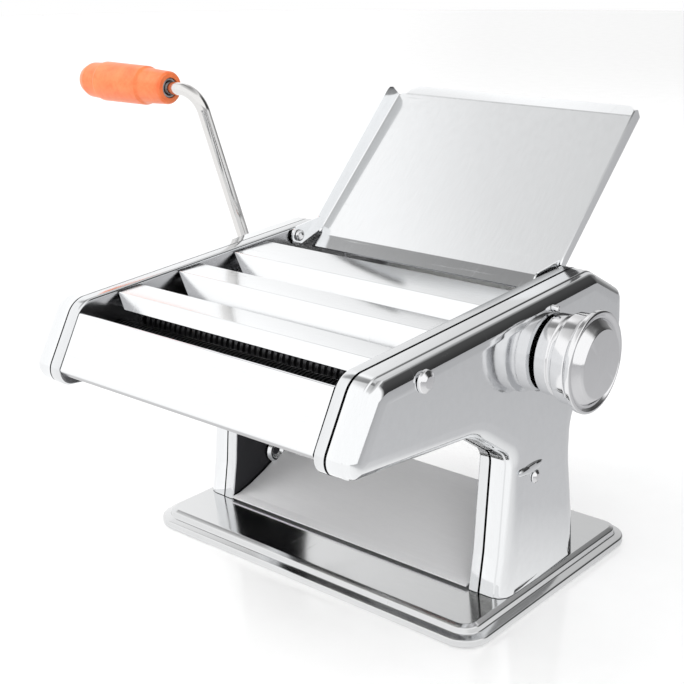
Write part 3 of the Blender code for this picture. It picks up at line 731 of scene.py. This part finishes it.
def makeCutterRollers():
    h, r, depth = rollers["cutterHalf"], rollers["cutterRadius"], rollers["grooveDepth"]
    for n, (y, z) in enumerate(cutterNips, 1):
        pitch = rollers["pitches"][n - 1]
        for partName, way, body in (("front", -1, "idler"), ("rear", 1, "drive")):
            corners = [(89.0, 0.0, 0), (89.0, 3.5, 0), (h, 3.5, 0)]
            x = h
            while x - pitch > -h:
                tooth = pitch * rollers["toothShare"]
                corners += [(x, r, 0), (x - tooth, r, 0), (x - tooth, r - depth, 0), (x - pitch, r - depth, 0)]
                x -= pitch
            corners += [(x, r, 0), (-h, r, 0), (-h, 3.5, 0)]
            if way > 0:
                corners += [(-84.0, 3.5, 0), (-84.0, 5.0, 0), (-97.6, 5.0, 0), (-97.6, 3.7, 0), (-86.0, 3.7, 0),
                            (-86.0, 0.0, 0)]
            else:
                corners += [(-84.0, 3.5, 0), (-84.0, 0.0, 0)]
            piece = turned(f"grooved_roller_{n}_{partName}", corners, y + way * cutterSpacing / 2, z, steps=28)
            finishPiece(piece, f"cutter_{n}_{body}", cutterSteel, "roller_steel",
                        f"cutter_roller_{n}_{partName}")


makeSheetRollers()
makeCutterRollers()
print("rollers made")


dial = {
    "place": (-4.25, 125.0),
    "body": [(119.2, 5.9, 0), (119.2, 20.2, 0.8), (118.2, 21.5, 0.9), (111.9, 21.6, 0.8), (110.6, 18.7, 0.7),
             (108.9, 18.6, 0.6), (108.0, 19.5, 0.5), (102.4, 19.4, 0.6), (101.3, 18.4, 0.4), (101.3, 5.9, 0)],
    "cap": [(126.4, 0.0, 0), (126.4, 16.2, 0.9), (125.4, 17.3, 0.6), (122.2, 20.6, 0.7), (122.4, 21.6, 0.5),
            (123.7, 22.9, 0.8), (123.2, 24.3, 0.9), (120.8, 24.2, 0.9), (119.6, 22.6, 0.5), (119.6, 0.0, 0)],
}


def makeDial():
    piece = turned("knob_body", dial["body"], *dial["place"], steps=120, closed=True, rounding=5)
    finishPiece(piece, "dial_knob", knobSteel, "polished_steel", "dial_body")
    piece = turned("knob_cap", dial["cap"], *dial["place"], steps=120, rounding=5)
    finishPiece(piece, "dial_knob", knobSteel, "polished_steel", "dial_cap")


crank = {
    "rod": 3.5, "sides": 28, "x": -117.0, "axle": (21.0, 125.0), "top": (-17.5, 230.5), "inner": -86.0,
    "outer": -197.0, "lowBend": 9.0, "highBend": 12.0, "bendSteps": 14,
    "grip": [(-138.0, 5.6, 0), (-138.0, 7.9, 0.5), (-139.2, 8.9, 0.8), (-155.0, 9.6, 3.0), (-156.8, 10.7, 0.9),
             (-190.4, 11.0, 0.9), (-191.8, 10.2, 0.8), (-201.5, 9.8, 3.0), (-206.6, 7.6, 2.5), (-209.0, 3.4, 1.5),
             (-209.0, 0.0, 0), (-199.0, 0.0, 0), (-199.0, 3.8, 0), (-147.0, 3.8, 0), (-147.0, 5.6, 0)],
    "ferrule": [(-139.2, 3.8, 0.1), (-138.6, 4.3, 0.2), (-138.6, 5.3, 0.2), (-146.7, 5.3, 0.1), (-146.7, 3.8, 0.1)],
}


def arcPoints(corner, before, after, radius, steps):
    u, v = (before - corner).normalized(), (after - corner).normalized()
    half = u.angle(v) / 2
    centre = corner + (u + v).normalized() * (radius / sin(half))
    start, end = corner + u * (radius / tan(half)) - centre, corner + v * (radius / tan(half)) - centre
    sweep = start.angle(end)
    return [centre + (start * sin(sweep * (1 - k / steps)) + end * sin(sweep * k / steps)) / sin(sweep)
            for k in range(steps + 1)]


def rodRings(path, radius, sides):
    # rings across a path, carried along it without twist
    rings = []
    across = Vector((0, 0, 1))
    for i, point in enumerate(path):
        way = (path[min(i + 1, len(path) - 1)] - path[max(i - 1, 0)]).normalized()
        across = (across - way * across.dot(way)).normalized()
        other = way.cross(across)
        rings.append([tuple(point + (across * cos(2 * pi * k / sides) + other * sin(2 * pi * k / sides)) * radius)
                      for k in range(sides)])
    return rings


def makeCrank():
    inner = Vector((crank["inner"], *crank["axle"]))
    lower = Vector((crank["x"], *crank["axle"]))
    upper = Vector((crank["x"], *crank["top"]))
    outer = Vector((crank["outer"], *crank["top"]))
    path = [inner] + arcPoints(lower, inner, upper, crank["lowBend"], crank["bendSteps"])
    path += arcPoints(upper, lower, outer, crank["highBend"], crank["bendSteps"]) + [outer]
    rings = rodRings(path, crank["rod"], crank["sides"])
    piece = loft("crank_rod", rings, capFirst=True, capLast=True, smoothAngle=40)
    bevelEdges(piece, 0.5, 2, 60)
    shadeSmooth(piece, 35)
    finishPiece(piece, "sheet_drive", rodSteel, "polished_steel", "crank_arm")
    piece = turned("grip_sleeve", crank["grip"], *crank["top"], steps=56, closed=True, rounding=5)
    finishPiece(piece, "hand_grip", gripPlastic, "orange_plastic", "crank_grip")
    piece = turned("grip_ring", crank["ferrule"], *crank["top"], steps=40, closed=True, rounding=2)
    finishPiece(piece, "hand_grip", gearSteel, "gear_steel", "grip_ferrule")


makeDial()
makeCrank()
print("dial and crank made")


tray = {
    "foot": (35.5, 148.0), "head": (110.0, 219.0), "half": 78.2, "flange": 9.0, "splay": 8.0, "bend": 1.8,
    "apron": (-8.6, -5.1), "lip": (8.0, 3.6), "lipHalf": 73.4, "lipChamfer": 4.2, "ear": 5.4,
}


def makeTray():
    foot, head = Vector(tray["foot"]), Vector(tray["head"])
    up = (head - foot).normalized()
    out = Vector((-up.y, up.x))  # towards the cook
    inner = tray["half"] - 2.0
    bottom = foot + Vector(tray["apron"])
    main = [(bottom.x, bottom.y, 0), (foot.x, foot.y, 3.0), (head.x, head.y, 0)]
    line = roundCorners(main, 8)
    section = line + list(reversed(besideLine(line, -sheetMetal)))
    rings = [[(x, p.x, p.y) for p in section] for x in (-inner, -inner + 0.4, inner - 0.4, inner)]
    panel = loft("tray_sheet", rings, capFirst=True, capLast=True, smoothAngle=30)

    # the lip bends back and gets narrower at its ends
    lipRings = []
    lipWay = Vector(tray["lip"])
    chamfer = tray["lipChamfer"]
    stops = [(-tray["lipHalf"], 0.25), (-tray["lipHalf"] + chamfer * 0.4, 0.72), (-tray["lipHalf"] + chamfer, 0.97)]
    stops += [(-tray["lipHalf"] + chamfer * 1.6, 1.0)]
    stops += [(-x, share) for x, share in reversed(stops)]
    for x, share in stops:
        tip = head + lipWay * share
        low = head - up * 0.6
        points = roundCorners([(low.x, low.y, 0), (head.x, head.y, 2.0), (tip.x, tip.y, 0)], 6)
        ring = points + list(reversed(besideLine(points, -sheetMetal)))
        lipRings.append([(x, p.x, p.y) for p in ring])
    lip = loft("tray_lip", lipRings, capFirst=True, capLast=True, smoothAngle=40)

    parts = [lip]
    for side in (-1, 1):
        lean = sin(radians(tray["splay"]))
        flangeRings = []
        length = (head - foot).length
        for along, height in ((1.0, 0.4), (2.4, 3.0), (5.0, 5.6), (9.0, 6.6), (length - 5.0, tray["flange"]),
                              (length - 2.6, tray["flange"] - 0.6), (length - 1.0, tray["flange"] - 2.6)):
            base0 = foot + up * along
            corner = [(inner, 0.0, 0), (tray["half"], 0.0, tray["bend"]),
                      (tray["half"] + lean * height, height, 0)]
            bent = roundCorners(corner, 6)
            ring = bent + list(reversed(besideLine(bent, -sheetMetal)))
            flangeRings.append([(side * p.x, *(base0 + out * p.y)) for p in ring])
        flange = loft("tray_flange", flangeRings, capFirst=True, capLast=True, smoothAngle=30)
        pivot = Vector(sides["trayPivot"])
        top = foot + out * 6.4 + up * 7.0
        toe = foot + up * 5.0 - out * 0.2
        ears = [(toe.x, toe.y)]
        for a in (-70, -95, -120, -145, -170, -195, -220, -245, -262):
            ears.append((pivot.x + cos(radians(a)) * tray["ear"], pivot.y + sin(radians(a)) * tray["ear"]))
        ears.append((top.x, top.y))
        rims = [[(side * x, y, z) for y, z in ears] for x in (tray["half"] - 0.45, tray["half"] + 0.45)]
        ear = loft("tray_ear", rims, capFirst=True, capLast=True, smoothAngle=30)
        drill(ear, side * 74, side * 82, *sides["trayPivot"], 2.2, 24)
        parts += [flange, ear]
    whole = joinPieces(panel, parts)
    shadeSmooth(whole, 30)
    whole.name = whole.data.name = "tray_sheet"
    finishPiece(whole, "feed_tray", traySteel, "polished_steel", "tray")


makeTray()
print("tray made")


finishes = {
    "gearSteel": ["roller_gear_", "cutter_gear_", "roller_bush_", "bearing_block_", "dial_spindle"],
    "rollerSteel": ["tie_rod_"],
    "combPlastic": ["roller_scraper_", "cutter_comb_"],
}
finishByName = {"gearSteel": gearSteel, "rollerSteel": rollerSteel, "combPlastic": combPlastic}
for finishName, starts in finishes.items():
    for nodeName, node in nodes.items():
        if any(nodeName.startswith(start) for start in starts):
            node.data.materials.clear()
            node.data.materials.append(finishByName[finishName])


studio = {
    "target": (0.00956, 0.01638, 0.10166), "azimuth": 40.37, "elevation": 18.46, "distance": 0.6874,
    "lens": 67.35, "roll": -0.59,
}


def makeCamera():
    a, e = radians(studio["azimuth"]), radians(studio["elevation"])
    back = Vector((sin(a) * cos(e), -cos(a) * cos(e), sin(e)))
    pickNothing()
    bpy.ops.object.camera_add(location=Vector(studio["target"]) + back * studio["distance"])
    camera = bpy.context.object
    camera.rotation_euler = back.to_track_quat("Z", "Y").to_euler()
    camera.rotation_euler.rotate_axis("Z", radians(studio["roll"]))
    camera.data.lens = studio["lens"]
    camera.data.sensor_width = 36
    camera.data.clip_start = 0.01
    bpy.context.scene.camera = camera


def makeFloor():
    pickNothing()
    bpy.ops.mesh.primitive_circle_add(vertices=96, radius=4.0, fill_type="NGON", location=(0, 0, 0))
    floor = bpy.context.object
    floor.name = "studio_floor"
    look = bpy.data.materials.new("pale studio floor")
    look.use_nodes = True
    tree = look.node_tree
    shader = tree.nodes["Principled BSDF"]
    where = addNode(tree, "ShaderNodeTexCoord").outputs["Object"]
    fine = addNode(tree, "ShaderNodeTexNoise", {"Vector": where, "Scale": 40.0, "Detail": 3.0})
    tone = rampNode(tree, fine.outputs["Fac"], [(0.3, (0.93, 0.93, 0.93)), (0.7, (0.95, 0.95, 0.95))])
    tree.links.new(tone, shader.inputs["Base Color"])
    tree.links.new(mathNode(tree, "MULTIPLY_ADD", fine.outputs["Fac"], 0.04), shader.inputs["Roughness"])
    shader.inputs["Roughness"].links[0].from_node.inputs[2].default_value = 0.10
    shader.inputs["Emission Color"].default_value = (1, 1, 1, 1)
    shader.inputs["Emission Strength"].default_value = 0.12
    # what the polished steel sees of the floor: bright all round, greyer towards the back right
    seen = addNode(tree, "ShaderNodeEmission", {"Strength": 1.0})
    parts = addNode(tree, "ShaderNodeSeparateXYZ", {0: where})
    diagonal = mathNode(tree, "ADD", mathNode(tree, "MULTIPLY", parts.outputs["X"], 0.65),
                        mathNode(tree, "MULTIPLY", parts.outputs["Y"], 0.76))
    shade = rampNode(tree, diagonal, [(0.0, (1.15, 1.15, 1.15)), (0.10, (0.98, 0.98, 0.98)),
                                      (0.20, (0.66, 0.66, 0.67)), (0.50, (0.56, 0.56, 0.57)),
                                      (1.0, (0.50, 0.50, 0.51))])
    tree.links.new(shade, seen.inputs["Color"])
    path = addNode(tree, "ShaderNodeLightPath")
    mix = addNode(tree, "ShaderNodeMixShader")
    tree.links.new(path.outputs["Is Glossy Ray"], mix.inputs[0])
    tree.links.new(shader.outputs[0], mix.inputs[1])
    tree.links.new(seen.outputs[0], mix.inputs[2])
    tree.links.new(mix.outputs[0], tree.nodes["Material Output"].inputs["Surface"])
    floor.data.materials.append(look)


def makeSky():
    # white to the camera; the steel sees soft panels with dark gaps between them
    world = bpy.data.worlds.new("studio sky")
    bpy.context.scene.world = world
    world.use_nodes = True
    tree = world.node_tree
    background = tree.nodes["Background"]
    direction = addNode(tree, "ShaderNodeTexCoord").outputs["Generated"]
    parts = addNode(tree, "ShaderNodeSeparateXYZ", {0: direction})
    height = addNode(tree, "ShaderNodeMath", {0: parts.outputs["Z"]}, operation="ARCSINE").outputs[0]
    # 0 at the back, positive to the right
    turn = mathNode(tree, "ARCTAN2", parts.outputs["X"], parts.outputs["Y"])
    rise = mathNode(tree, "DIVIDE", height, pi / 2)
    vertical = rampNode(tree, rise, [(0.0, 1.22), (0.50, 1.22), (0.56, 1.16), (0.62, 0.86), (0.68, 0.76),
                                     (1.0, 0.40)])
    # a black gap between the panels at the back right, from the floor to half way up
    low = rampNode(tree, rise, [(0.0, 1.0), (0.38, 0.96), (0.50, 0.70), (0.56, 0.0)])
    turnShare = mathNode(tree, "DIVIDE", turn, 2 * pi)
    ahead = mathNode(tree, "ADD", turnShare, 0.5)
    around = rampNode(tree, ahead, [(0.47, 0.0), (0.505, 0.75), (0.56, 1.0), (0.66, 1.0), (0.70, 0.0)])
    gap = mathNode(tree, "MULTIPLY", low, around)
    openShare = mathNode(tree, "SUBTRACT", 1.0, mathNode(tree, "MULTIPLY", gap, 0.97))
    # greyer panels towards the back, and one high up on the left
    sideTone = rampNode(tree, ahead, [(0.25, 1.0), (0.365, 1.0), (0.405, 0.68), (0.48, 0.62), (0.56, 1.0)])
    high = rampNode(tree, rise, [(0.46, 0.0), (0.52, 1.0)])
    leftPanel = rampNode(tree, ahead, [(0.24, 0.0), (0.265, 0.62), (0.33, 0.62), (0.36, 0.0)])
    dimmed = mathNode(tree, "SUBTRACT", 1.0, mathNode(tree, "MULTIPLY", high, leftPanel))
    vertical = mathNode(tree, "MULTIPLY", mathNode(tree, "MULTIPLY", vertical, sideTone), dimmed)
    light = mathNode(tree, "MULTIPLY", vertical, openShare)
    path = addNode(tree, "ShaderNodeLightPath")
    strength = addNode(tree, "ShaderNodeMix", data_type="FLOAT")
    tree.links.new(path.outputs["Is Camera Ray"], strength.inputs[0])
    tree.links.new(light, strength.inputs[2])
    strength.inputs[3].default_value = 1.0
    tree.links.new(strength.outputs[0], background.inputs["Strength"])
    background.inputs["Color"].default_value = (1, 1, 1, 1)


def makeLamps():
    for name, place, size, power, aim in (
            ("key softbox", (-0.9, -0.7, 1.3), 1.0, 9, (0, 0, 0.08)),
            ("fill softbox", (1.2, -0.9, 0.9), 0.9, 4, (0, 0, 0.08)),
            ("back softbox", (0.2, 1.3, 1.1), 1.0, 5, (0, 0, 0.08))):
        pickNothing()
        bpy.ops.object.light_add(type="AREA", location=place)
        lamp = bpy.context.object
        lamp.name = name
        lamp.data.shape = "DISK"
        lamp.data.size = size
        lamp.data.energy = power
        lamp.visible_glossy = False
        lamp.rotation_euler = (Vector(place) - Vector(aim)).to_track_quat("Z", "Y").to_euler()


makeCamera()
makeFloor()
makeSky()
makeLamps()
bpy.context.scene.view_settings.view_transform = "Standard"
print("studio made")

pickNothing()
